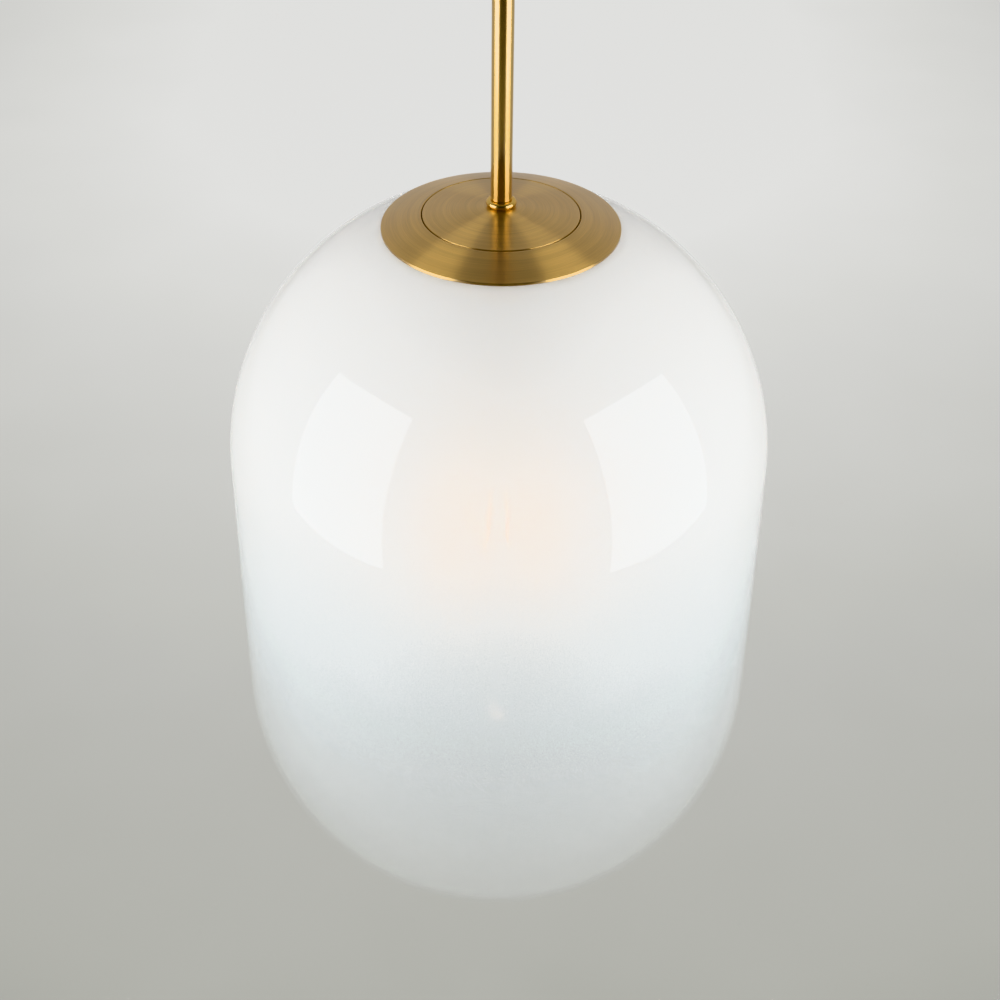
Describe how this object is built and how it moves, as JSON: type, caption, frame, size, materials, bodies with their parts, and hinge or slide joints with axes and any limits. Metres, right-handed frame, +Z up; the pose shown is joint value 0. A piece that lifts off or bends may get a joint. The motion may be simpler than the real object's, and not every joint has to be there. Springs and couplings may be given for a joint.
{
  "type": "pendant ceiling light",
  "caption": "Pendant ceiling light: opal-to-clear blown glass capsule under a domed two-piece brass cap, hung from a round canopy by a jointed brass stem.",
  "frame": {"origin": "middle of the ceiling bracket's top face, where it lies on the ceiling", "axes": "+Z up out of the ceiling mount along the stem's axis, so the light hangs along -Z; X along the swivel's pin and the canopy's two ball nuts; Y along the bracket's slots"},
  "size_m": [0.343, 0.343, 1.0405],
  "materials": {
    "brushed_brass": "satin brass, turned parts brushed in circles and tubes brushed along their length, clear lacquer",
    "zinc_steel": "zinc-plated, dull silver",
    "green_steel": "green-dyed screw head",
    "opal_glass": "blown glass, white opal at the top fading to nearly clear at the bottom, fire-polished gloss",
    "clear_glass": "clear bulb glass",
    "silicone": "translucent white, matt",
    "phenolic": "moulded black, slight gloss",
    "porcelain": "glazed white",
    "contact_brass": "pressed, bright",
    "aluminium": "rolled thread, satin",
    "nylon": "natural white",
    "cable_sheath": "smooth black sheath",
    "live_core": "brown insulation",
    "neutral_core": "blue insulation",
    "earth_core": "green insulation",
    "led_phosphor": "yellow phosphor coating over a row of light chips, glows warm white when lit"
  },
  "bodies": {
    "canopy": {"ceiling_bracket": "zinc_steel", "canopy": "brushed_brass", "canopy_stud_left": "zinc_steel", "canopy_stud_right": "zinc_steel", "stud_lock_nut_left": "zinc_steel", "stud_lock_nut_right": "zinc_steel", "canopy_ball_nut_left": "brushed_brass", "canopy_ball_nut_right": "brushed_brass", "terminal_block": "nylon", "ground_screw": "green_steel", "core_live": "live_core", "core_neutral": "neutral_core", "core_earth": "earth_core"},
    "swivel": {"swivel_yoke": "brushed_brass", "swivel_washer": "zinc_steel", "swivel_nut": "zinc_steel", "pivot_screw_left": "brushed_brass", "pivot_screw_right": "brushed_brass", "cord_grip": "nylon", "cable_upper": "cable_sheath"},
    "stem": {"stem_knuckle": "brushed_brass", "upper_stem": "brushed_brass", "stem_coupling": "zinc_steel", "lower_stem": "brushed_brass", "stem_bead": "brushed_brass", "cap_nipple": "zinc_steel", "socket_plate": "brushed_brass", "cap_washer": "zinc_steel", "cap_nut": "zinc_steel", "inner_tube": "zinc_steel", "holder_nipple": "zinc_steel", "socket_cup": "brushed_brass", "holder_dome": "phenolic", "holder_insert": "porcelain", "holder_shell": "phenolic", "screw_shell": "contact_brass", "centre_contact": "contact_brass", "terminal_screw_left": "contact_brass", "terminal_screw_right": "contact_brass", "cable_lower": "cable_sheath", "tail_live": "live_core", "tail_neutral": "neutral_core"},
    "shade": {"fitter_ring": "brushed_brass", "glass_shade": "opal_glass", "neck_gasket": "silicone", "glass_clamp_1": "zinc_steel", "glass_clamp_2": "zinc_steel", "glass_clamp_3": "zinc_steel", "clamp_screw_1": "zinc_steel", "clamp_screw_2": "zinc_steel", "clamp_screw_3": "zinc_steel"},
    "bulb": {"bulb_screw_cap": "aluminium", "bulb_insulator": "phenolic", "bulb_contact": "contact_brass", "bulb_envelope": "clear_glass", "bulb_mount": "clear_glass", "led_filament_1": "led_phosphor", "led_filament_2": "led_phosphor", "led_filament_3": "led_phosphor", "led_filament_4": "led_phosphor"}
  },
  "joints": [
    {"name": "stem_yaw", "type": "hinge", "parent": "canopy", "child": "swivel", "pos_m": [0, 0, -0.0253], "axis": [0, 0, 1], "range_deg": [-170, 170]},
    {"name": "stem_tilt", "type": "hinge", "parent": "swivel", "child": "stem", "pos_m": [0, 0, -0.047], "axis": [1, 0, 0], "range_deg": [-45, 45]},
    {"name": "shade_twist", "type": "hinge", "parent": "stem", "child": "shade", "pos_m": [0, 0, -0.538], "axis": [0, 0, 1], "range_deg": [0, 25]},
    {"name": "bulb_removal", "type": "slide", "parent": "stem", "child": "bulb", "axis": [0, 0, -1], "range_m": [0, 0.03]}
  ]
}
